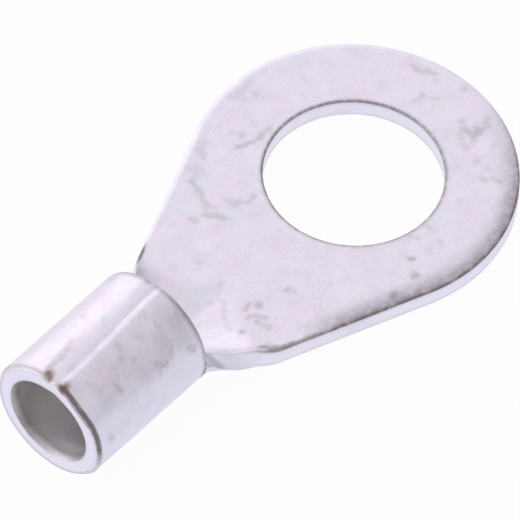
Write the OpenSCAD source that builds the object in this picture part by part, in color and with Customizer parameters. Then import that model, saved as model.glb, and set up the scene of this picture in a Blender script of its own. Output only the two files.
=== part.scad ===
// Ring terminal for a crimped wire, stamped and rolled from one sheet of tinned copper.
// Frame: origin at the centre of the stud hole on the underside of the tongue,
// +Z up the stud, +X towards the ring's far tip, the wire barrel towards -X.

/* [Sheet] */
// Thickness of the sheet, the same in the tongue and in the barrel's wall
sheet_t = 1; // [0.8:0.05:1.2]
// Radius of the upper edge that the blanking punch rolls over
edge_r = 0.2; // [0.05:0.05:0.35]

/* [Ring] */
// Diameter of the stud hole
hole_d = 8.4; // [6.4:0.1:10]
// Diameter of the ring
ring_d = 15.3; // [14:0.1:17]
// Bevel round the top of the stud hole
hole_bevel = 0.08; // [0.02:0.01:0.15]

/* [Barrel] */
// Distance from the centre of the stud hole to the mouth of the barrel
mouth_x = 21.25; // [19:0.05:25]
// Length of the barrel
barrel_l = 7.4; // [5:0.05:8]
// Bore that takes the stripped wire
bore_d = 4.25; // [3.2:0.05:4.8]
// Drop of the barrel's underside below the tongue's underside
barrel_drop = 0.38; // [0.1:0.02:0.6]

/* [Mouth] */
// Width of the bevel round the outside of the mouth, across the wall
mouth_bevel_w = 0.28; // [0.05:0.01:0.4]
// Length of that bevel along the barrel
mouth_bevel_l = 0.2; // [0.05:0.01:0.5]
// Width of the bevel that leads the wire into the bore
lead_in = 0.12; // [0.03:0.01:0.25]
// Length of the band behind the mouth that the sizing die has pressed flat
coined_l = 1; // [0.3:0.05:2]
// Depth of that band at the mouth
coined_depth = 0.06; // [0.01:0.01:0.1]

/* [Seam] */
// Width of the brazed groove where the barrel's two edges meet
seam_w = 1.25; // [0.6:0.05:1.8]
// Depth of that groove
seam_depth = 0.2; // [0.05:0.01:0.35]
// Width of the flat of braze at the bottom of the groove
braze_w = 0.2; // [0.05:0.05:0.5]

/* [Neck] */
// Angle of each side of the tongue to the centre line
taper_angle = 21.7; // [19:0.1:24]
// Radius of the blank's corner between the neck and the barrel's rim
corner_r = 1; // [0.5:0.05:1.4]
// Length over which the flat neck curls up into the barrel
curl_l = 3.85; // [3:0.05:5]
// How quickly the curl tightens towards the barrel
curl_power = 1.65; // [1.2:0.05:2.5]
// Distance from the barrel's rim at which the curl is as tight as the barrel
curl_full = 0.6; // [0.2:0.05:1]
// Distance from the barrel's rim at which the middle of the tongue starts to sink
scoop_l = 5; // [4:0.05:6]
// Length over which it sinks to the barrel's floor
scoop_ramp = 1.3; // [0.8:0.05:2]
// How far the scoop's outline runs back for each unit of distance from the centre line
scoop_sweep = 0.55; // [0.2:0.05:0.7]

/* [Hidden] */
$fn = 96;

ring_r = ring_d / 2;
bore_r = bore_d / 2;
barrel_r = bore_r + sheet_t;
mid_r = bore_r + sheet_t / 2;
barrel_z = barrel_r - barrel_drop;
rim_x = barrel_l - mouth_x;
slack = 0.5;
// The curled neck runs on as a wedge into the middle of the barrel's wall
seat_l = 0.3;
seat_inset = 0.2;
rim_inset = 0.02;
// The straight sides cut this far into the ring, so that they cross its round edge cleanly
side_inset = 0.03;

// Where the neck changes form, from the barrel's rim outwards
tight_x = rim_x + curl_full;
curl_x = rim_x + curl_l;
scoop_x = rim_x + scoop_l;
flat_x = max(curl_x, scoop_x);
side_x = -(ring_r - side_inset) * sin(taper_angle);
corner_x = rim_x + corner_r;
corner_w = taper_w(corner_x) + corner_r / cos(taper_angle);
corner_end_x = corner_x + corner_r * sin(taper_angle);

// Counts of the loft's stations along the neck and of its points across the sheet
station_n = 18;
across_n = 16;
roll_n = 3;

// Half width of the blank on the straight taper that runs off the ring
function taper_w(x) = (ring_r - side_inset) / cos(taper_angle) + x * tan(taper_angle);

// Half width of the flat blank: straight taper, then a round corner up to the barrel's rim
function blank_w(x) =
    x > corner_end_x
        ? taper_w(x)
        : corner_w - sqrt(max(0, corner_r ^ 2 - (max(x, rim_x) - corner_x) ^ 2));

function smooth_step(t) = let (c = min(1, max(0, t))) c * c * (3 - 2 * c);

// Curvature of the sheet across the neck: flat at the tongue, the barrel's own at its rim
function curl(x) =
    let (share = min(1, max(0, (curl_x - x) / (curl_x - tight_x))))
    max(1e-5, share ^ curl_power / mid_r);

// Height of the sheet's middle layer at a distance along the sheet from the centre line
function floor_z(x, along) =
    let (sunk = smooth_step((scoop_x - x - scoop_sweep * abs(along)) / scoop_ramp))
    sheet_t / 2 + (barrel_z - mid_r - sheet_t / 2) * sunk;

// A point of the curled sheet, at a distance along it and a height above its middle layer
function sheet_point(x, along, above) =
    let (k = curl(x), turn = k * along * 180 / PI)
    [x, sin(turn) * (1 / k - above), floor_z(x, along) + 1 / k - cos(turn) * (1 / k - above)];

// Section of the sheet at one station, as distances along the sheet and above its middle:
// the underside from side to side, then back over the top with its two rolled edges
function section(half_w, half_t) =
    let (
        roll_w = edge_r / cos(taper_angle),
        side = [for (i = [0 : roll_n]) let (a = 90 * i / roll_n)
            [half_w - roll_w * (1 - cos(a)), half_t - edge_r * (1 - sin(a))]],
        middle = [for (i = [1 : across_n - 1])
            [(half_w - roll_w) * (1 - 2 * i / across_n), half_t]],
        top = concat(side, middle, [for (i = [roll_n : -1 : 0]) [-side[i][0], side[i][1]]])
    )
    concat([for (i = [len(top) - 1 : -1 : 0]) [top[i][0], -half_t]], top);

// Stations crowd towards the barrel's rim, where the curl is tightest
function station_x(i) = rim_x + (flat_x - rim_x) * (i / station_n) ^ 1.5;

// Closed skin over a row of sections, whose first half and last half face each other
function closed_loft(rings) =
    let (n = len(rings[0]), last = len(rings) - 1)
    [
        concat([for (ring = rings) each ring]),
        concat(
            [for (j = [0 : n / 2 - 2]) [j, j + 1, n - 2 - j, n - 1 - j]],
            [for (i = [0 : last - 1], j = [0 : n - 1]) let (k = (j + 1) % n)
                [i * n + j, (i + 1) * n + j, (i + 1) * n + k]],
            [for (i = [0 : last - 1], j = [0 : n - 1]) let (k = (j + 1) % n)
                [i * n + j, (i + 1) * n + k, i * n + k]],
            [for (j = [0 : n / 2 - 2])
                [for (c = [n - 1 - j, n - 2 - j, j + 1, j]) last * n + c]]
        )
    ];

// Round end of the tongue, its upper edge rolled over by the punch
module ring_disc() {
    rotate_extrude() {
        square([ring_r - edge_r, sheet_t]);
        square([ring_r, sheet_t - edge_r]);
        translate([ring_r - edge_r, sheet_t - edge_r]) circle(edge_r);
    }
}

// Neck: the tapered sheet that leaves the ring flat, then sinks and curls
// until it is the barrel's lower half
module curled_neck() {
    half_t = sheet_t / 2;
    seat = [[rim_x - seat_l, half_t - seat_inset], [rim_x - seat_l / 10, half_t - rim_inset]];
    rings = concat(
        [for (s = seat)
            [for (p = section(blank_w(s[0]), s[1])) sheet_point(s[0], p[0], p[1])]],
        [for (x = [for (i = [1 : station_n]) station_x(i), side_x])
            [for (p = section(blank_w(x), half_t)) sheet_point(x, p[0], p[1])]]
    );
    loft = closed_loft(rings);
    polyhedron(points = loft[0], faces = loft[1], convexity = 6);
}

// Barrel wall as turned: bevels at the mouth and a shallow coined band behind it
module barrel_tube() {
    translate([-mouth_x, 0, barrel_z])
        rotate([0, 90, 0])
            rotate_extrude()
                polygon([
                    [bore_r + lead_in, 0],
                    [barrel_r - coined_depth - mouth_bevel_w, 0],
                    [barrel_r - coined_depth, mouth_bevel_l],
                    [barrel_r, mouth_bevel_l + coined_l],
                    [barrel_r, barrel_l],
                    [bore_r, barrel_l],
                    [bore_r, lead_in],
                ]);
}

// Groove along the top of the barrel, over the brazed butt joint
module seam_groove() {
    lip = slack / seam_depth;
    floor_r = barrel_r - seam_depth;
    flank = (seam_w - braze_w) / 2;
    translate([-mouth_x - slack, 0, barrel_z])
        rotate([90, 0, 90])
            linear_extrude(barrel_l + 2 * slack)
                polygon([
                    [-braze_w / 2, floor_r],
                    [braze_w / 2, floor_r],
                    [braze_w / 2 + flank * (1 + lip), barrel_r + slack],
                    [-braze_w / 2 - flank * (1 + lip), barrel_r + slack],
                ]);
}

module stud_hole() {
    translate([0, 0, -slack])
        cylinder(d = hole_d, h = sheet_t + 2 * slack);
    translate([0, 0, sheet_t - hole_bevel])
        cylinder(r1 = hole_d / 2, r2 = hole_d / 2 + hole_bevel + slack, h = hole_bevel + slack);
}

module terminal() {
    color("gainsboro") {
        difference() {
            union() {
                ring_disc();
                curled_neck();
                barrel_tube();
            }
            stud_hole();
            seam_groove();
        }
    }
}

terminal();
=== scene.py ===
import math

import bpy
import numpy as np
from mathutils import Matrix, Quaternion, Vector, kdtree, noise
from mathutils.geometry import delaunay_2d_cdt


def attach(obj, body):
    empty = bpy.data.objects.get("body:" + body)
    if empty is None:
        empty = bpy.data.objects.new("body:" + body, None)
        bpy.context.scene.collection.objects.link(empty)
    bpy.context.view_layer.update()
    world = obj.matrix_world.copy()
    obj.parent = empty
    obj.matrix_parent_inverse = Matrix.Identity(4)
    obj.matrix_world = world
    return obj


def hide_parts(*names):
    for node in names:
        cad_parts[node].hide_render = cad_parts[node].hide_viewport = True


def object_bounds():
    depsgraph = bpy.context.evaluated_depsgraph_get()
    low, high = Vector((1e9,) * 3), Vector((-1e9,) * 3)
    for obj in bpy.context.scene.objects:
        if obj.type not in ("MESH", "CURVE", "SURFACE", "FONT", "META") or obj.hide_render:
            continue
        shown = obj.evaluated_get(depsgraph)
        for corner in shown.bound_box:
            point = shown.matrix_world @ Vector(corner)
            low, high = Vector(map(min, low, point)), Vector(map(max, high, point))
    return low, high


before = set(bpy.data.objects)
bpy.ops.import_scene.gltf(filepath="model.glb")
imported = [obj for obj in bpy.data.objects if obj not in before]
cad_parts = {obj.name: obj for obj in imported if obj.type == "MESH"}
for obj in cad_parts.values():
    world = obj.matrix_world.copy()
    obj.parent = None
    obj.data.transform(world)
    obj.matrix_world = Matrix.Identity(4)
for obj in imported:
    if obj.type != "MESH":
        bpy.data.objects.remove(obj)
cad_low, cad_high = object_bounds()


# ---------------------------------------------------------------------------
# Camera. It stands well back with a long lens, looking down on the terminal
# from the barrel's open end, and is tipped a little to one side.
look_at = Vector((-0.00614, 0.00034, 0.0))
camera_distance, lens_mm, sensor_mm = 0.7359, 1109.5, 36
azimuth, elevation, camera_tip = math.radians(-51.0), math.radians(52.2), math.radians(2.709)

back = Vector((math.sin(azimuth) * math.cos(elevation),
               -math.cos(azimuth) * math.cos(elevation),
               math.sin(elevation)))
camera = bpy.data.objects.new("camera", bpy.data.cameras.new("camera"))
camera.data.lens, camera.data.sensor_width = lens_mm, sensor_mm
camera.data.clip_start, camera.data.clip_end = 0.01, 10
camera.rotation_mode = "QUATERNION"
camera.location = look_at + back * camera_distance
camera.rotation_quaternion = (-back).to_track_quat("-Z", "Y") @ Quaternion((0, 0, 1), camera_tip)
bpy.context.collection.objects.link(camera)
bpy.context.scene.camera = camera
bpy.context.scene.view_settings.view_transform = "Standard"


# ---------------------------------------------------------------------------
# The table: a white sheet of card. The terminal lies on it on the neck's sunk
# floor and the ring's far tip, so the card is a hair off level.
barrel_low, tip_x, heel_x = cad_low.z, cad_high.x, -0.0120
table_slope = -barrel_low / (tip_x - heel_x)
table_reach, table_gap = 1.5, 2e-6
card_colour, white, most_white = (0.9, 0.9, 0.9, 1), (1, 1, 1, 1), 0.95

table_mesh = bpy.data.meshes.new("table")
corners = [(-1, -1), (1, -1), (1, 1), (-1, 1)]
table_mesh.from_pydata([(x * table_reach, y * table_reach, (x * table_reach - tip_x) * table_slope - table_gap)
                        for x, y in corners], [], [(0, 1, 2, 3)])
table_card = bpy.data.objects.new("table_card", table_mesh)
bpy.context.collection.objects.link(table_card)


def node_maker(tree, family="ShaderNode"):
    """Gives a function that adds a node to a tree and feeds its inputs, with sockets or plain values."""
    def add(kind, *fed, **settings):
        node = tree.nodes.new(family + kind)
        for key, value in settings.items():
            setattr(node, key, value)
        for socket, value in zip(node.inputs, fed):
            if isinstance(value, bpy.types.NodeSocket):
                tree.links.new(value, socket)
            elif value is not None:
                socket.default_value = value
        return node

    return add


def new_material(name):
    """An empty node material, and the function that adds nodes to it."""
    made = bpy.data.materials.new(name)
    made.use_nodes = True
    made.node_tree.nodes.clear()
    return made, node_maker(made.node_tree)


white_card, card_node = new_material("white_card")
ray = card_node("LightPath").outputs
seen = card_node("Math", ray["Is Camera Ray"], ray["Is Glossy Ray"], operation="MAXIMUM").outputs[0]
seen = card_node("Math", seen, ray["Is Transmission Ray"], operation="MAXIMUM").outputs[0]
white_share = card_node("Math", seen, most_white, operation="MULTIPLY").outputs[0]
matt_card = card_node("BsdfDiffuse", card_colour).outputs[0]
lit_card = card_node("Emission", white, 1).outputs[0]
card_node("OutputMaterial", card_node("MixShader", white_share, matt_card, lit_card).outputs[0])
table_mesh.materials.append(white_card)


# ---------------------------------------------------------------------------
# Studio light: a white tent, brightest on the far side and dimmer towards the
# camera, with two dark gaps low down: the room beyond, and the open front.
tent_dim, tent_bright = 0.86, 0.34
far_begins, far_full, gap_edge = 0.1, 0.7, 0.80
room_towards, room_dark = Vector((0.87, -0.36, 0.30)).normalized(), 0.50
front_towards, front_dark = Vector((-0.84, -0.52, 0.14)).normalized(), 0.65
lamp_towards, lamp_distance, lamp_size, lamp_watts = Vector((0.30, 0.90, 0.30)), 0.5, 0.42, 0.12

tent = bpy.data.worlds.new("tent")
tent.use_nodes = True
bpy.context.scene.world = tent
tent.node_tree.nodes.clear()
tent_node = node_maker(tent.node_tree)

towards = tent_node("TexCoord").outputs["Generated"]
far_side = tent_node("SeparateXYZ", towards).outputs["Y"]
level = tent_node("MapRange", far_side, far_begins, far_full, tent_dim, tent_dim + tent_bright,
                  interpolation_type="SMOOTHSTEP").outputs[0]
for gap_towards, gap_dark in ((room_towards, room_dark), (front_towards, front_dark)):
    facing = tent_node("VectorMath", towards, gap_towards, operation="DOT_PRODUCT").outputs["Value"]
    light_left = tent_node("MapRange", facing, gap_edge, 1.0, 1.0, 1 - gap_dark,
                           interpolation_type="SMOOTHSTEP").outputs[0]
    level = tent_node("Math", level, light_left, operation="MULTIPLY").outputs[0]
is_seen = tent_node("LightPath").outputs["Is Camera Ray"]
shown = tent_node("Mix", is_seen, None, level, 1.0, data_type="FLOAT").outputs[0]
tent_light = tent_node("Background", white, shown).outputs[0]
tent_node("OutputWorld", tent_light)

lamp = bpy.data.objects.new("soft_lamp", bpy.data.lights.new("soft_lamp", "AREA"))
lamp.data.size, lamp.data.energy = lamp_size, lamp_watts
lamp.location = lamp_towards.normalized() * lamp_distance
lamp.rotation_mode = "QUATERNION"
lamp.rotation_quaternion = (-lamp_towards).to_track_quat("-Z", "Y")
bpy.context.collection.objects.link(lamp)


# ---------------------------------------------------------------------------
# The stamped blank. One piece cut from 1 mm copper sheet: the ring with its
# stud hole, the tongue that tapers from it, and the wide strap that becomes
# the barrel. The die rounds the upper edge; x runs along it, a across it.
MM = 0.001
sheet = 1.0
ring_r, hole_r, taper = 7.6495, 4.2, math.radians(21.7)
mouth_x, rim_x, corner_r = -21.25, -13.85, 1.0
bore_r = 2.125
mid_r, outer_r = bore_r + sheet / 2, bore_r + sheet
strap_w = math.pi * mid_r
corner_x = rim_x + corner_r
corner_a = ring_r / math.cos(taper) + corner_x * math.tan(taper) + corner_r / math.cos(taper)

# How closely the points lie: an even grain all over, and rows that crowd
# towards each edge, given as distances in from it.
grain, side_step = 0.11, 0.1
corner_sides, ring_sides, hole_sides = 34, 150, 264
edge_rows = [0, 0.01, 0.03, 0.065, 0.11, 0.17, 0.24, 0.32, 0.42, 0.53, 0.65]
hole_rows = [0, 0.01, 0.03, 0.06, 0.1, 0.15]
mouth_rows = [0, 0.012, 0.03, 0.055, 0.085, 0.12, 0.16, 0.2, 0.25, 0.31, 0.38, 0.46]
seam_rows = [0, 0.03, 0.07, 0.12, 0.18, 0.25, 0.32, 0.39, 0.45, 0.5, 0.55, 0.6, 0.65, 0.7, 0.76, 0.84, 0.93]


def spread(start, end, step):
    """Evenly spaced values from start to end, both included."""
    return np.linspace(start, end, max(2, int(round(abs(end - start) / step)) + 1))


# Half the outline, from the strap's inner corner round to the ring's far tip:
# each point, and the direction from it into the metal.
strap_cols = np.concatenate([strap_w - np.array(seam_rows),
                             spread(strap_w - seam_rows[-1], corner_a, grain)[1:]])
turn = np.linspace(math.pi, 1.5 * math.pi + taper, corner_sides)
fillet = np.stack([corner_x + corner_r * np.cos(turn), corner_a + corner_r * np.sin(turn)], 1)
touch = np.array([-ring_r * math.sin(taper), ring_r * math.cos(taper)])
steps = spread(0, np.linalg.norm(touch - fillet[-1]), side_step)[1:]
side = fillet[-1] + np.outer(steps, [math.cos(taper), math.sin(taper)])
sweep = np.linspace(math.pi / 2 + taper, 0, ring_sides)[1:]
ring = ring_r * np.stack([np.cos(sweep), np.sin(sweep)], 1)
inner_rim = np.stack([np.full(len(strap_cols) - 1, rim_x), strap_cols[:-1]], 1)
half_edge = np.concatenate([inner_rim, fillet, side, ring])
half_in = np.concatenate([
    np.tile([-1.0, 0.0], (len(inner_rim), 1)),
    np.stack([np.cos(turn), np.sin(turn)], 1),
    np.tile([math.sin(taper), -math.cos(taper)], (len(side), 1)),
    -ring / ring_r])
mirror = np.array([1, -1])
edge = np.concatenate([half_edge, half_edge[-2::-1] * mirror])
edge_in = np.concatenate([half_in, half_in[-2::-1] * mirror])

places, into, depth_in, kind, ties = [], [], [], [], []
EDGE, HOLE, STRAP, FIELD = 0, 1, 2, 3


def add_row(points, inward, distance, what, closed=False):
    """Adds a row of points along an edge of the blank and ties each to the next."""
    first = len(places)
    places.extend(points)
    into.extend(inward)
    depth_in.extend([distance] * len(points))
    kind.extend([what] * len(points))
    ties.extend((first + i, first + i + 1) for i in range(len(points) - 1))
    if closed:
        ties.append((first + len(points) - 1, first))


for distance in edge_rows:
    add_row(edge + edge_in * distance, edge_in, distance, EDGE)
round_hole = np.linspace(0, 2 * math.pi, hole_sides, endpoint=False)
outward = np.stack([np.cos(round_hole), np.sin(round_hole)], 1)
for distance in hole_rows:
    add_row(outward * (hole_r + distance), outward, distance, HOLE, closed=True)

cols = np.concatenate([strap_cols, spread(corner_a, 0, grain)[1:]])
cols = np.concatenate([cols, -cols[-2::-1]])
strap_xs = np.concatenate([mouth_x + np.array(mouth_rows),
                           spread(mouth_x + mouth_rows[-1], rim_x - edge_rows[-1], grain)[1:-1]])
for strap_x in strap_xs:
    points = np.stack([np.full(len(cols), strap_x), cols], 1)
    add_row(points, np.tile([1.0, 0.0], (len(points), 1)), strap_x - mouth_x, STRAP)

# The field between the rows is filled evenly, in a triangular pattern, and
# the whole is triangulated. The field counts as deeper in than any rounding.
row_pitch, clear_of_rows, clear_of_rim = grain * 0.866, grain * 0.6, 0.02
deep_in, same_point, sliver = 9, 1e-6, 1e-7
outline = np.concatenate([edge, [[mouth_x, -strap_w], [mouth_x, strap_w]]])


def is_inside(points, loop):
    """Which points lie inside a closed loop, by counting crossings."""
    inside = np.zeros(len(points), bool)
    for p, q in zip(loop, np.roll(loop, -1, 0)):
        if p[1] != q[1]:
            crosses = (p[1] > points[:, 1]) != (q[1] > points[:, 1])
            inside ^= crosses & (points[:, 0] < (q[0] - p[0]) * (points[:, 1] - p[1]) / (q[1] - p[1]) + p[0])
    return inside


field_x = np.arange(rim_x - edge_rows[-1], ring_r, row_pitch)
field = np.array([(x, a) for i, x in enumerate(field_x)
                  for a in np.arange(-ring_r + (i % 2) * grain / 2, ring_r, grain)])
off_hole = np.hypot(field[:, 0], field[:, 1]) > hole_r + hole_rows[-1] + clear_of_rows
field = field[is_inside(field, outline) & off_hole]
rows_tree = kdtree.KDTree(len(places))
for number, (x, a) in enumerate(places):
    rows_tree.insert((x, a, 0), number)
rows_tree.balance()
field = np.array([p for p in field if rows_tree.find((p[0], p[1], 0))[2] > clear_of_rows])
field = field[(field[:, 0] > rim_x + clear_of_rim) | (np.abs(field[:, 1]) < corner_a)]
row_ties = list(ties)
add_row(field, np.zeros((len(field), 2)), deep_in, FIELD)
into, depth_in, kind = map(np.array, (into, depth_in, kind))

net_points, _, net_faces, net_origins, _, _ = delaunay_2d_cdt(
    [Vector(p) for p in places], row_ties, [], 0, same_point)
places = np.array([tuple(v) for v in net_points])
source = np.array([origin[0] for origin in net_origins])
into, depth_in, kind = into[source], depth_in[source], kind[source]
triangles = np.array(net_faces)
middle = places[triangles].mean(1)
off_hole = np.hypot(middle[:, 0], middle[:, 1]) > hole_r * math.cos(math.pi / hole_sides)
triangles = triangles[is_inside(middle, outline) & off_hole]
corner = places[triangles]
area = np.cross(corner[:, 1] - corner[:, 0], corner[:, 2] - corner[:, 0])
whole = np.abs(area) > sliver
triangles, area = triangles[whole], area[whole]
triangles[area < 0] = triangles[area < 0][:, ::-1]

# Heights of the two faces. The upper edge rolls over where the die drew it
# down, widest along one side of the ring; the lower edge is nearly sharp.
roll_drop, strap_drop, burr_round, hole_drop, hole_roll = 0.11, 0.05, 0.04, 0.07, 0.12
roll_narrow, roll_wider, roll_widest = 0.14, 0.22, 0.28
x, a = places[:, 0], places[:, 1]
degrees = np.degrees(np.arctan2(a, x))


def rounding(distance, width, drop):
    """How far an edge, rounded over a width, has dropped at a distance in from it."""
    return drop * (1 - np.sqrt(np.clip(1 - np.clip(1 - distance / width, 0, 1) ** 2, 0, 1)))


def hump(values, centre, width):
    """A smooth rise and fall about a centre."""
    return np.exp(-((values - centre) / width) ** 2)


def ease(values, start, end):
    """Nought before the start, one past the end, smooth between."""
    t = np.clip((values - start) / (end - start), 0, 1)
    return t * t * (3 - 2 * t)


on_right = ease(-a, -1.0, 2.5)
roll_width = roll_narrow + (roll_wider + roll_widest * on_right * hump(degrees, -48, 55)) * ease(x, -10.5, -2.5)
edge_drop = strap_drop + (roll_drop - strap_drop) * ease(x, rim_x, corner_x)
top_fall = np.where(kind == EDGE, rounding(depth_in, roll_width, edge_drop), 0)
top_fall = np.where(kind == HOLE, rounding(depth_in, hole_roll, hole_drop), top_fall)
low_fall = np.where((kind == EDGE) | (kind == HOLE), rounding(depth_in, burr_round, burr_round), 0)

# The strap's own edges, by the turn each point will have round the barrel in
# degrees from the top: the lead-in and the bevel at the mouth, a flat that the
# cutting tool left on one side of it, the rounded inner rim, and the seam,
# whose one shoulder slopes gently and the other steeply, filled at the mouth.
bevel_w, bevel_l, bevel_curve = 0.28, 0.2, 1.3
lead_in, lead_l, lead_curve = 0.15, 0.38, 1.6
seam_depth, left_shoulder, right_slope, shoulder_bulge = 0.075, 11.0, 5.2, 2.5
seam_turn, seam_drift, drift_l = -1.2, 5.8, 6.6
shoulder_soft, shoulder_top = 0.012, 1.02
bridge_turn, bridge_w, bridge_fill, mouth_fill = 1.0, 4.0, 0.85, 0.3
coin_turn, coin_depth, coin_l, coin_reach = -38.0, 0.17, 1.15, 70
coin_soft, coin_off = 0.0003, 0.009
rim_round_w, rim_round_d = 0.32, 0.10
notch_turn, notch_w, seam_rise, seam_rise_w = 7.5, 4.5, 0.06, 7.0
# The barrel's skin is set in a hair, so that the seam's shoulders stay inside
# the solid.
skin_in = 0.021
in_strap = x < rim_x + same_point
from_mouth, from_rim = x - mouth_x, rim_x - x
turn_at = np.degrees((strap_w - np.abs(a)) / mid_r) * np.sign(a)

valley = seam_turn - seam_drift * ease(from_rim, 0, drift_l)
shoulder = left_shoulder + shoulder_bulge * hump(x, -18.2, 1.3)
slope = np.where(turn_at > valley, (shoulder - turn_at) / (shoulder - valley),
                 (turn_at - valley + right_slope) / right_slope)
slope = (slope + np.sqrt(slope ** 2 + shoulder_soft)) / 2
groove = seam_depth * np.clip(slope, 0, shoulder_top) * (1 - mouth_fill * hump(from_mouth, 0, 0.5))
bridge = hump(turn_at, valley + bridge_turn, bridge_w)
bevel_share = (0.62 + 0.38 * ease(-turn_at, -5, 12) * ease(turn_at, -125, -75)) * (1 - bridge_fill * bridge)
bevel = bevel_w * bevel_share * np.clip(1 - (from_mouth / bevel_l) ** bevel_curve, 0, None) ** (1 / bevel_curve)
off_coin = np.radians(np.clip(turn_at - coin_turn, -coin_reach, coin_reach))
coin = outer_r - (outer_r - coin_depth * (1 - from_mouth / coin_l)) / np.cos(off_coin)
coin = np.clip((coin + np.sqrt(coin ** 2 + coin_soft)) / 2 - coin_off, 0, None) * ease(from_mouth, 1.6, 0.9)
notch = hump(turn_at, notch_turn, notch_w)
rim_round = rounding(from_rim, rim_round_w * (1 + 0.5 * notch), rim_round_d * (1 + 1.2 * notch))
lead = lead_in * np.clip(1 - from_mouth / lead_l, 0, 1) ** lead_curve
peak = seam_rise * hump(turn_at, valley, seam_rise_w)
top_fall = np.where(in_strap, np.maximum(top_fall, lead) + peak, top_fall)
low_fall = np.where(in_strap, np.maximum(coin + bevel, rim_round) + groove + skin_in, low_fall)


def unevenness(scale, layer):
    """Smooth noise over the blank, from minus one to one and the same each run."""
    return np.array([noise.noise(Vector((px * scale, pa * scale, layer))) for px, pa in places])


# A little waviness, as sheet has once it has been pressed and tumbled. It
# only ever takes metal away, and leaves the edges and the seam alone.
wave_scale, top_wave, low_wave = 0.55, 0.010, 0.012
wavy = ease(depth_in, 0.15, 0.45) * np.where(in_strap, ease(strap_w - np.abs(a), 0.9, 1.4), 1)
top = sheet / 2 - top_fall - top_wave * wavy * (0.5 + 0.5 * unevenness(wave_scale, 3.0))
low = -sheet / 2 + low_fall + low_wave * wavy * (0.5 + 0.5 * unevenness(wave_scale, 9.0))

# Painted shade, and the metal's own marks: a dark tint painted as shade along
# the rolled edge, round the hole's rim, in the mouth's bevel, on the barrel's
# rim and inside the barrel; a paler patch in the bore painted as the floor's
# reflection; and the bare copper by the seam's end. Each is kept on the metal
# as a share from none to one.
by_side = x * math.cos(taper) + np.abs(a) * math.sin(taper) < 0
from_side = ring_r + x * math.sin(taper) - np.abs(a) * math.cos(taper)
from_edge = np.where(by_side, from_side, ring_r - np.hypot(x, a))
# Painted shade on the face: a dark line and a broad band along the rolled edge on the right side, where it
# turns from the light, a band along the left edge by the neck, and a line round the hole's rim.
edge_line = 0.5 * ease(from_edge, 0.17, 0.0) * ease(degrees, -5, -50)
edge_band = 0.68 * ease(from_edge, 1.45, 0.05) ** 1.6 * ease(degrees, -8, -58) * ease(x, -9.5, -6.5)
shade_top = on_right * (edge_line + edge_band) * ease(x, -11.4, -10.6)
shade_top += (1 - on_right) * 1.3 * ease(from_edge, 0.22, 0.1) * hump(x, -10.2, 0.6)
shade_top = np.maximum(shade_top, 0.8 * ease(np.hypot(x, a), hole_r + 0.2, hole_r + 0.05))
# Painted shade in the bore: on the lead-in by the mouth, clear along the bottom, and a darker patch on one side
# a little further in.
mouth_band = 0.5 * ease(from_mouth, 0.55, 0.25) * (1 - hump(a, -1.2, 1.6))
mouth_patch = 0.35 * hump(a, 1.9, 0.9) * hump(from_mouth, 0.5, 0.5)
shade_top = np.where(in_strap, mouth_band + mouth_patch, shade_top)

# Painted shade on the outside: a dark reflection in the mouth's bevel, strongest on the right, shade on the
# barrel's rounded rim and in its notch, and at the seam's end by the mouth.
in_bevel = ease(from_mouth, 0.04, 0.11) * ease(from_mouth, 0.25, 0.15) * (1 - bridge)
bevel_shade = in_bevel * (0.25 + 1.25 * ease(-turn_at, -2, 12) * ease(turn_at, -112, -72))
rim_shade = 0.5 * ease(from_rim, 0.42, 0.05)
notch_shade = 0.8 * hump(turn_at, 8.5, 3.0) * hump(from_rim, 0, 0.22)
seam_end_shade = hump(turn_at, 1.5, 2.4) * hump(from_mouth, 0.16, 0.16)
shade_low = np.where(in_strap, np.maximum.reduce([bevel_shade, rim_shade, notch_shade, seam_end_shade]), 0)

by_bridge = hump(turn_at, 5.5, 4.2) * hump(from_mouth, 0.28, 0.26)
by_bevel = hump(turn_at, -14, 4.0) * hump(from_mouth, 0.2, 0.3)
bare_low = np.where(in_strap, np.maximum(by_bridge, by_bevel), 0)
# A patch low in the bore is a painted reflection of the floor: the bore's tint, which is painted shade, is left
# off there, and the metal is made less metallic so that it shows paler.
floor_reflection_patch = 0.6 * hump(a, -0.9, 1.5) * hump(from_mouth, 0.65, 0.7)
inside_top = np.where(in_strap, ease(from_mouth, 0.0, 0.1) * (1 - floor_reflection_patch), 0)
floor_reflection = hump(a, -0.8, 1.5) * hump(from_mouth, 0.7, 0.5) * ease(from_mouth, 0.0, 0.2)
floor_reflection_top = np.where(in_strap, floor_reflection, 0)
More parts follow.
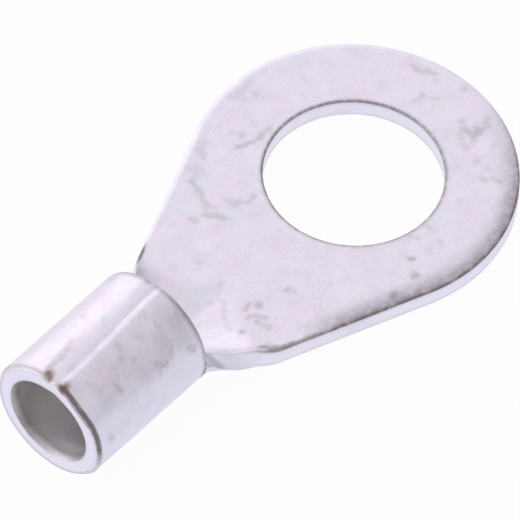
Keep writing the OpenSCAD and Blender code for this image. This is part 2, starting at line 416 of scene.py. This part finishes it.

# Rub marks from handling, on the ring and tongue and then on the barrel's
# outside, with a few lines of painted shade among them: points along and
# across the sheet, the line's width, how grey it is.
face_marks = [
    ([(-2.55, 4.92), (-2.05, 4.75), (-1.5, 4.52)], 0.13, 0.6),
    ([(-1.5, 4.52), (-1.05, 4.6), (-0.7, 4.5)], 0.2, 0.5),
    ([(-3.75, 6.15), (-4.0, 5.75)], 0.22, 0.35),
    ([(-4.85, 5.75), (-4.75, 5.3), (-5.15, 5.2)], 0.34, 0.3),
    ([(-5.4, 5.15), (-5.75, 4.2), (-6.1, 3.7)], 0.18, 0.5),
    ([(-6.1, 3.7), (-5.85, 3.4)], 0.2, 0.35),
    ([(-6.45, 3.45), (-6.2, 3.1), (-6.1, 2.7)], 0.22, 0.55),
    ([(-5.1, 3.25), (-5.05, 2.9), (-4.7, 2.45), (-4.25, 2.45)], 0.15, 0.4),
    ([(0.45, 6.45), (0.4, 6.4)], 0.2, 0.3),
    ([(-0.15, 6.55), (-0.2, 6.5)], 0.16, 0.35),
    ([(-1.8, 5.25), (-1.85, 5.2)], 0.15, 0.35),
    ([(-2.0, 5.75), (-2.05, 5.7)], 0.13, 0.25),
    ([(-7.05, 3.65), (-7.0, 3.55)], 0.22, 0.35),
    ([(2.65, 5.3), (2.6, 5.2)], 0.18, 0.3),
    ([(-0.5, 7.05), (0.85, 6.95)], 0.2, 0.3),
    ([(-3.45, 6.4), (-3.2, 6.1)], 0.2, 0.25),
    ([(6.6, 2.0), (6.65, 1.6), (6.9, 1.1)], 0.24, 0.45),
    ([(6.9, 1.1), (6.65, 0.65)], 0.15, 0.25),
    ([(7.15, -0.5), (7.1, -0.55)], 0.17, 0.45),
    ([(5.6, 0.55), (5.55, 0.6)], 0.2, 0.45),
    ([(5.6, 0.55), (4.95, 0.7)], 0.1, 0.3),
    ([(5.8, 0.2), (5.9, -0.1)], 0.1, 0.3),
    ([(5.7, -1.75), (5.65, -1.7)], 0.22, 0.5),
    ([(6.6, -2.5), (6.4, -2.5)], 0.2, 0.4),
    ([(5.4, -2.15), (5.4, -2.6), (5.8, -2.6)], 0.32, 0.65),
    ([(5.8, -2.6), (6.25, -2.85)], 0.17, 0.55),
    ([(4.95, -2.2), (4.6, -2.85)], 0.22, 0.3),
    ([(5.4, -2.6), (5.1, -2.9)], 0.2, 0.35),
    ([(4.25, -3.8), (4.3, -3.75)], 0.16, 0.35),
    ([(5.5, -3.75), (5.45, -3.8)], 0.15, 0.3),
    ([(4.4, -4.45), (4.35, -4.4)], 0.14, 0.3),
    ([(4.05, -5.05), (4.15, -5.3)], 0.11, 0.5),
    ([(3.7, -4.55), (3.8, -4.8)], 0.1, 0.4),
    ([(-2.0, -5.3), (-2.1, -5.2)], 0.17, 1.0),
    ([(-0.1, -4.7), (-0.05, -4.65)], 0.14, 0.4),
    ([(2.0, -4.7), (2.05, -4.65)], 0.15, 0.25),
    ([(-0.4, -5.6), (-0.35, -5.5)], 0.18, 0.3),
    ([(-1.05, -4.35), (-0.85, -4.75)], 0.12, 0.3),
    ([(-2.65, -6.0), (-2.55, -6.0)], 0.22, 0.8),
    ([(-4.25, -6.05), (-4.1, -6.05)], 0.24, 1.0),
    # Painted shade: a thin grey line along the neck's crease.
    ([(-9.4, 0.05), (-9.8, -0.55), (-10.35, -1.2), (-10.75, -1.75)], 0.08, 0.25),
    ([(-9.0, -1.5), (-9.3, -1.5)], 0.14, 0.5),
    ([(-8.6, -1.75), (-8.8, -1.9)], 0.15, 0.65),
    ([(-9.65, -1.95), (-9.35, -2.15), (-9.1, -2.55)], 0.16, 0.45),
    ([(-9.5, -2.4), (-9.35, -3.0)], 0.15, 0.5),
    ([(-10.45, -2.3), (-10.4, -2.25)], 0.17, 0.75),
    ([(-7.35, -2.2), (-7.15, -2.25)], 0.13, 0.45),
    ([(-7.0, -2.5), (-7.05, -2.45)], 0.15, 0.4),
    ([(-10.15, -0.1), (-10.0, -0.15)], 0.1, 0.35),
    ([(-9.0, 0.2), (-8.95, 0.25)], 0.15, 0.35),
    ([(-8.75, 1.8), (-8.8, 1.7)], 0.2, 0.25),
    ([(-10.6, -3.65), (-9.7, -4.3), (-9.4, -4.5)], 0.17, 1.3),
    ([(-9.4, -4.5), (-8.05, -4.95)], 0.12, 0.8)]
barrel_marks = [
    ([(-16.5, -5.85), (-16.45, -5.8)], 0.24, 0.6),
    ([(-15.4, -6.15), (-15.8, -5.7)], 0.16, 0.4),
    ([(-16.15, -5.65), (-16.6, -5.6)], 0.15, 0.55),
    ([(-14.35, -5.35), (-14.8, -5.4)], 0.14, 0.5),
    ([(-17.6, -7.4), (-17.65, -7.35)], 0.16, 0.35),
    ([(-18.0, -7.0), (-17.95, -6.95)], 0.15, 0.3),
    ([(-17.5, -6.65), (-17.45, -6.6)], 0.16, 0.35),
    ([(-14.25, -6.9), (-14.3, -6.8)], 0.22, 0.4),
    ([(-19.0, -6.3), (-18.95, -6.1)], 0.13, 0.45),
    ([(-20.4, -4.7), (-20.35, -4.6)], 0.16, 0.4),
    ([(-15.35, -7.15), (-15.4, -6.95)], 0.1, 0.4),
    ([(-17.15, 6.9), (-17.35, 7.0)], 0.12, 0.35),
    ([(-14.5, 6.2), (-14.45, 6.0)], 0.25, 0.3),
    # Painted shade along the seam groove's left shoulder by the mouth.
    ([(-20.7, 7.85), (-19.8, 7.75), (-18.9, 7.6)], 0.12, 0.5),
    # Painted shadow of the barrel's rim, by the neck.
    ([(-13.95, -7.3), (-13.95, -5.6)], 0.22, 0.3),
    ([(-14.6, -7.0), (-14.7, -6.2)], 0.7, 0.22),
    ([(-15.7, -6.5), (-16.0, -5.9)], 0.6, 0.24),
    ([(-16.9, -5.8), (-17.6, -5.9)], 0.5, 0.2)]
wander_scale, wander_reach, line_blur = 2.6, 0.16, 0.12
wander = np.stack([unevenness(wander_scale, 1.0), unevenness(wander_scale, 7.0)], 1)
wandered = places + wander_reach * wander


def grey_lines(strokes):
    """How grey each point of a face is made by a set of soft, slightly wandering lines."""
    most = np.zeros(len(places))
    for points, width, strength in strokes:
        for start, end in zip(np.array(points), np.array(points[1:])):
            run = end - start
            share = np.clip((wandered - start) @ run / (run @ run), 0, 1)
            away = np.hypot(*(wandered - start - np.outer(share, run)).T)
            most = np.maximum(most, strength * (1 - ease(away, 0, width + line_blur)))
    return most


rub_and_shade_top, rub_and_shade_low = grey_lines(face_marks), grey_lines(barrel_marks)

# The sheared wall between the faces: a bright upper band, then the part that
# tore, set back a little and uneven. The upper band carries on a share of the
# face's painted shade. The seam's own walls meet and need none.
wall_levels = [0.25, 0.5, 0.75, 0.95]
torn_depth, torn_uneven, torn_from = 0.012, 0.01, 1.3
torn_scale, torn_scale_up = 2.2, 2
wall_shade_share, wall_shade_above, seam_reach = 0.25, 0.9, 1e-4
count = len(places)
verts = np.concatenate([np.column_stack([places, top]), np.column_stack([places, low])])
faces = [tuple(t) for t in triangles] + [tuple(t[::-1] + count) for t in triangles]
sides = dict.fromkeys((p, q) for i, j, k in triangles for p, q in ((i, j), (j, k), (k, i)))
open_sides = [(p, q) for p, q in sides if (q, p) not in sides]
at_seam = np.abs(np.abs(a) - strap_w) < seam_reach
wall_at, wall_verts, wall_shade = {}, [], []


def wall_column(i):
    """The points down the wall under one point of the outline, from the lower face to the upper."""
    if i not in wall_at:
        column = [i + count]
        for level in wall_levels:
            height = low[i] + (top[i] - low[i]) * level
            spot = Vector((x[i] * torn_scale, a[i] * torn_scale, height * torn_scale_up))
            torn = 0 if at_seam[i] else (torn_depth + torn_uneven * noise.noise(spot)) * (torn_from - level)
            wall_verts.append((x[i] + into[i][0] * torn, a[i] + into[i][1] * torn, height))
            wall_shade.append(shade_top[i] * (wall_shade_share if level > wall_shade_above else 0))
            column.append(2 * count + len(wall_verts) - 1)
        wall_at[i] = column + [i]
    return wall_at[i]


for p, q in open_sides:
    if not (at_seam[p] and at_seam[q]):
        here, there = wall_column(p), wall_column(q)
        faces += [(here[n], there[n], there[n + 1], here[n + 1]) for n in range(len(here) - 1)]
verts = np.concatenate([verts, np.array(wall_verts)]) * MM

blank_mesh = bpy.data.meshes.new("blank")
blank_mesh.from_pydata(verts.tolist(), [], [tuple(int(n) for n in f) for f in faces])
sheet_place = blank_mesh.attributes.new("sheet", "FLOAT_VECTOR", "POINT")
sheet_place.data.foreach_set("vector", (verts / MM).astype(np.float32).ravel())
none_on_face, none_on_wall = np.zeros(count), np.zeros(len(wall_verts))
shade_and_wear_shares = {
    "painted_shade": (shade_top, shade_low, np.array(wall_shade)),
    "bare": (none_on_face, bare_low, none_on_wall),
    "inside": (inside_top, none_on_face, none_on_wall),
    "sheared": (none_on_face, none_on_face, none_on_wall + 1),
    "rubs_and_shade": (rub_and_shade_top, rub_and_shade_low, none_on_wall),
    "floor_reflection_share": (floor_reflection_top, none_on_face, none_on_wall)}
for name, shares in shade_and_wear_shares.items():
    kept = blank_mesh.attributes.new(name, "FLOAT", "POINT")
    kept.data.foreach_set("value", np.concatenate(shares).astype(np.float32))
blank = bpy.data.objects.new("blank", blank_mesh)
bpy.context.collection.objects.link(blank)


# ---------------------------------------------------------------------------
# Rolling. The blank is curled about the wire's axis: hardly at all by the
# ring, more and more through the neck, and right round in the strap, whose
# edges meet at the top. The neck's floor sinks with it as a scoop.
roll_sizes = {
    "Sheet": sheet, "Barrel mid radius": mid_r, "Barrel drop": 0.38,
    "Curl starts": -10.0, "Fully curled": -13.25,
    "Scoop starts": -8.85, "Scoop edge ramp": 1.3, "Scoop middle ramp": 3.2, "Scoop reach": corner_a}
roll_shares = {"Curl power": 1.65, "Scoop sweep": 0.55}
least_curl, weld_reach = 0.01, 2e-6

roller = bpy.data.node_groups.new("roll_the_blank", "GeometryNodeTree")
for way in ("INPUT", "OUTPUT"):
    roller.interface.new_socket("Geometry", in_out=way, socket_type="NodeSocketGeometry")
for name in [*roll_sizes, *roll_shares]:
    roller.interface.new_socket(name, in_out="INPUT", socket_type="NodeSocketFloat")
roller.interface.new_socket("Finish", in_out="INPUT", socket_type="NodeSocketMaterial")
sum_node, shape_node = node_maker(roller), node_maker(roller, "GeometryNode")
roll_in, roll_out = roller.nodes.new("NodeGroupInput").outputs, roller.nodes.new("NodeGroupOutput")


def reckon(operation, *terms, clamp=False):
    """One sum in the rolling tree, on numbers or on other nodes' outputs."""
    return sum_node("Math", *terms, operation=operation, use_clamp=clamp).outputs[0]


# How tightly the blank is curled at each place along it, the curl's shape
# across it, and the scoop, which starts further back towards the edges.
along, across, above = sum_node("SeparateXYZ", shape_node("InputPosition").outputs[0]).outputs
curl_share = reckon("DIVIDE", reckon("SUBTRACT", roll_in["Curl starts"], along),
                    reckon("SUBTRACT", roll_in["Curl starts"], roll_in["Fully curled"]), clamp=True)
curl = reckon("DIVIDE", reckon("POWER", curl_share, roll_in["Curl power"]), roll_in["Barrel mid radius"])
curl = reckon("MAXIMUM", curl, least_curl)
angle = reckon("MULTIPLY", curl, across)
half_sine = reckon("SINE", reckon("MULTIPLY", angle, 0.5))
arch = reckon("DIVIDE", reckon("MULTIPLY", reckon("MULTIPLY", half_sine, half_sine), 2.0), curl)
reach_share = reckon("DIVIDE", reckon("ABSOLUTE", across), roll_in["Scoop reach"], clamp=True)
ramp_change = reckon("SUBTRACT", roll_in["Scoop edge ramp"], roll_in["Scoop middle ramp"])
ramp = reckon("ADD", roll_in["Scoop middle ramp"], reckon("MULTIPLY", ramp_change, reach_share))
sweep_back = reckon("MULTIPLY", reckon("MULTIPLY", reach_share, roll_in["Scoop reach"]), roll_in["Scoop sweep"])
into_scoop = reckon("SUBTRACT", reckon("SUBTRACT", roll_in["Scoop starts"], along), sweep_back)
sink = reckon("DIVIDE", into_scoop, ramp, clamp=True)
eased = reckon("MULTIPLY", reckon("MULTIPLY", sink, sink),
               reckon("SUBTRACT", 3.0, reckon("MULTIPLY", sink, 2.0)))
half_sheet = reckon("MULTIPLY", roll_in["Sheet"], 0.5)
ground = reckon("SUBTRACT", half_sheet, reckon("MULTIPLY", roll_in["Barrel drop"], eased))
new_y = reckon("MULTIPLY", reckon("SINE", angle), reckon("SUBTRACT", reckon("DIVIDE", 1.0, curl), above))
new_z = reckon("ADD", reckon("ADD", ground, arch), reckon("MULTIPLY", above, reckon("COSINE", angle)))
curled = sum_node("CombineXYZ", along, new_y, new_z).outputs[0]

# The curled blank is welded where the strap's edges meet, and tinned.
bend = shape_node("SetPosition", roll_in["Geometry"], None, curled)
weld = shape_node("MergeByDistance", bend.outputs[0], None, weld_reach)
smooth = shape_node("SetShadeSmooth", weld.outputs[0])
real = shape_node("RealizeInstances", smooth.outputs[0])
finish = shape_node("SetMaterial", real.outputs[0], None, roll_in["Finish"])
roller.links.new(finish.outputs[0], roll_out.inputs[0])


# ---------------------------------------------------------------------------
# Finish. Tin over copper, pale and a little lilac, satin rather than mirror:
# mottled where it set in patches, bluer on the sheared walls, with painted
# shade and a rougher finish along the edges, in the mouth's bevel and in the
# bore, a painted reflection of the floor low in the bore, and bare copper at
# the seam's end.
tin_pale, tin_lilac = (0.79, 0.74, 0.85), (0.785, 0.70, 0.82)
tin_blue, tin_grey = (0.75, 0.73, 0.85), (0.58, 0.54, 0.58)
low_tin, sheared_tin = (0.765, 0.755, 0.895), (0.81, 0.79, 0.93)
# The near-black tint is painted shade and the bore's tint is painted shade in the barrel; the rubbed grey is
# partly painted shade; the copper is the metal's own.
shade_tin, rub_and_shade_tin = (0.235, 0.205, 0.21), (0.42, 0.38, 0.395)
bore_tin, bare_copper = (0.76, 0.735, 0.725), (0.22, 0.135, 0.10)
satin_low, satin_high, shade_rougher, floor_reflection_metal_cut = 0.36, 0.46, 0.12, -0.65
wave_height, grain_height, scuff_height = 0.00005, 0.00002, 0.00002

tin_plate, tin_node = new_material("tin_plate")
place = tin_node("TexCoord").outputs["Object"]
on_sheet = tin_node("Attribute", attribute_name="sheet").outputs["Vector"]
along_sheet, across_sheet, _ = tin_node("SeparateXYZ", on_sheet).outputs
painted_shade, bare, inside, sheared, rubs_and_shade, floor_reflection_share = (
    tin_node("Attribute", attribute_name=name).outputs["Fac"] for name in shade_and_wear_shares)


def cloud(where, scale, detail=3.0, rough=0.55):
    """Plain noise over the metal."""
    return tin_node("TexNoise", where, None, scale, detail, rough).outputs["Fac"]


def between(value, start, end, low_out=0.0, high_out=1.0):
    """A value eased from one level to another."""
    return tin_node("MapRange", value, start, end, low_out, high_out,
                    interpolation_type="SMOOTHSTEP").outputs[0]


def sums(operation, *values):
    """One sum in the tin's tree."""
    return tin_node("Math", *values, operation=operation).outputs[0]


def tinted(mask, first, second):
    """Two colours, or one over another's output, mixed by a mask."""
    mix = tin_node("Mix", mask, data_type="RGBA")
    for socket, colour in zip(mix.inputs[6:8], (first, second)):
        if isinstance(colour, tuple):
            socket.default_value = colour + (1,)
        else:
            tin_plate.node_tree.links.new(colour, socket)
    return mix.outputs[2]


def relief(height, strength, distance, under=None):
    """A fine relief in the metal, laid over another one."""
    return tin_node("Bump", strength, distance, None, height, under).outputs[0]


# The bare plating: patches of three tints, grey streaks and fine specks, and
# a bluer flank low on the barrel.
on_barrel = between(along_sheet, -13.2, -14.4)
blue_flank = sums("MULTIPLY", sums("MULTIPLY", on_barrel, between(across_sheet, -6.4, -5.0)),
                  between(across_sheet, -1.0, -2.5))
colour = tinted(between(cloud(place, 1000), 0.36, 0.64), tin_pale, tin_lilac)
colour = tinted(between(cloud(place, 750), 0.44, 0.68), colour, tin_blue)
streaks = between(cloud(place, 1500, 6.0, 0.7), 0.46, 0.80)
streaks = sums("MULTIPLY", streaks, sums("MULTIPLY_ADD", on_barrel, 0.2, 0.4))
colour = tinted(streaks, colour, tin_grey)
colour = tinted(between(cloud(place, 7000, 3.0, 0.7), 0.45, 0.8, 0.0, 0.32), colour, tin_grey)
colour = tinted(sums("MULTIPLY", blue_flank, 0.75), colour, low_tin)

# What handling and the tools did to it, and the painted shade, each broken up by noise of its own.
marks = sums("MULTIPLY", rubs_and_shade, between(cloud(on_sheet, 5.0), 0.3, 0.6, 0.65, 1.0))
shaded = sums("MULTIPLY", painted_shade, between(cloud(on_sheet, 3.5, 4.0, 0.6), 0.28, 0.62, 0.6, 1.0))
in_bore = sums("MULTIPLY", inside, between(cloud(place, 420, 2.0), 0.35, 0.65, 0.75, 1.0))
for share, tint in ((sheared, sheared_tin), (marks, rub_and_shade_tin), (in_bore, bore_tin),
                    (shaded, shade_tin), (bare, bare_copper)):
    colour = tinted(share, colour, tint)

satin = between(cloud(place, 1300, 4.0), 0.3, 0.7, satin_low, satin_high)
satin = sums("MULTIPLY_ADD", sums("MAXIMUM", shaded, inside), shade_rougher, satin)
waves = relief(cloud(place, 700), 0.5, wave_height)
grains = relief(cloud(place, 5200, 4.0), 0.35, grain_height, waves)
scuffs = relief(sums("SUBTRACT", 1.0, marks), 0.5, scuff_height, grains)
tin = tin_node("BsdfPrincipled")
# The metal is less metallic in the painted reflection of the floor low in the bore.
for socket, value in (("Base Color", colour), ("Metallic", sums("MULTIPLY_ADD", floor_reflection_share, floor_reflection_metal_cut, 1.0)),
                      ("Roughness", satin), ("Normal", scuffs)):
    tin_plate.node_tree.links.new(value, tin.inputs[socket])
tin_node("OutputMaterial", tin.outputs[0])


# ---------------------------------------------------------------------------
# The finished terminal: the blank rolled, its seam closed, and tinned all
# over. It stands for the modelled solid of the same name.
rolling = blank.modifiers.new("rolling", "NODES")
rolling.node_group = roller
for socket in roller.interface.items_tree:
    if socket.in_out == "INPUT":
        if socket.name in roll_sizes:
            rolling[socket.identifier] = roll_sizes[socket.name] * MM
        elif socket.name in roll_shares:
            rolling[socket.identifier] = roll_shares[socket.name]
        elif socket.name == "Finish":
            rolling[socket.identifier] = tin_plate
rolled = blank.evaluated_get(bpy.context.evaluated_depsgraph_get())
terminal_mesh = bpy.data.meshes.new_from_object(rolled)
terminal_mesh.name = "tinned_terminal"
tinned_terminal = bpy.data.objects.new("tinned_terminal", terminal_mesh)
bpy.context.collection.objects.link(tinned_terminal)
bpy.data.objects.remove(blank)
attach(tinned_terminal, "root")
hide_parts("terminal")
